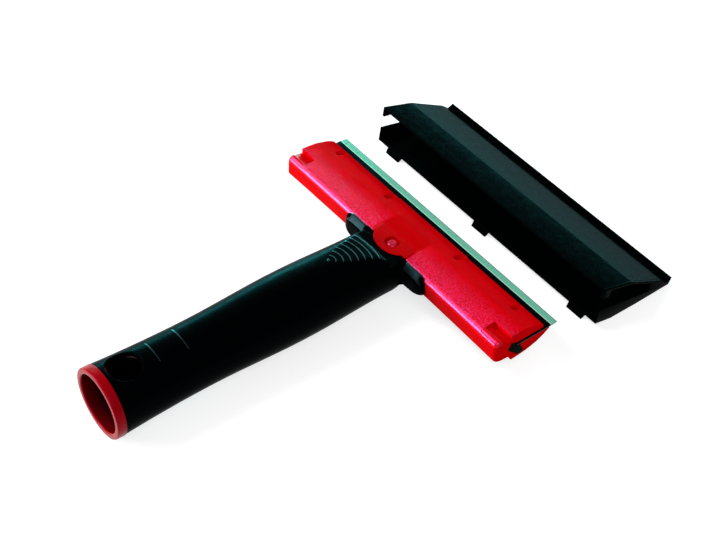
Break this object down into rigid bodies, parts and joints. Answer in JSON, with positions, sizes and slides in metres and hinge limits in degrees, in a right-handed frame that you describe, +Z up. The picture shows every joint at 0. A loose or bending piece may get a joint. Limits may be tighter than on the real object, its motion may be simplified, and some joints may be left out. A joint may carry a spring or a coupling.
{
  "type": "window scraper",
  "caption": "Hand window scraper: hollow gripped handle with a hanging hole, wide red head holding a steel blade in a black liner, and a loose black blade cover lying in front of it.",
  "frame": {"origin": "on the table, under the middle of the outline of the scraper and its cover", "axes": "+Y along the handle from its hollow end to the blade and the cover, +X along the blade, +Z up"},
  "size_m": [0.1558, 0.2556, 0.0324],
  "materials": {
    "core_red": "satin",
    "grip_black": "matte",
    "head_red": "satin",
    "stud_red": "satin",
    "liner_black": "matte",
    "blade_steel": "brushed",
    "cover_black": "satin"
  },
  "bodies": {
    "scraper": {"handle_core": "core_red", "grip_sleeve": "grip_black", "scraper_head": "head_red", "head_stud": "stud_red", "blade_liner": "liner_black"},
    "blade": {"scraper_blade": "blade_steel"},
    "cover": {"blade_cover": "cover_black"}
  },
  "joints": [
    {"name": "cover_close", "type": "hinge", "parent": "scraper", "child": "cover", "pos_m": [0, 0.03932, -0.24366], "axis": [1, 0, 0], "range_deg": [0, 12]},
    {"name": "blade_slide", "type": "slide", "parent": "scraper", "child": "blade", "axis": [-1, 0, 0], "range_m": [0, 0.15]}
  ]
}
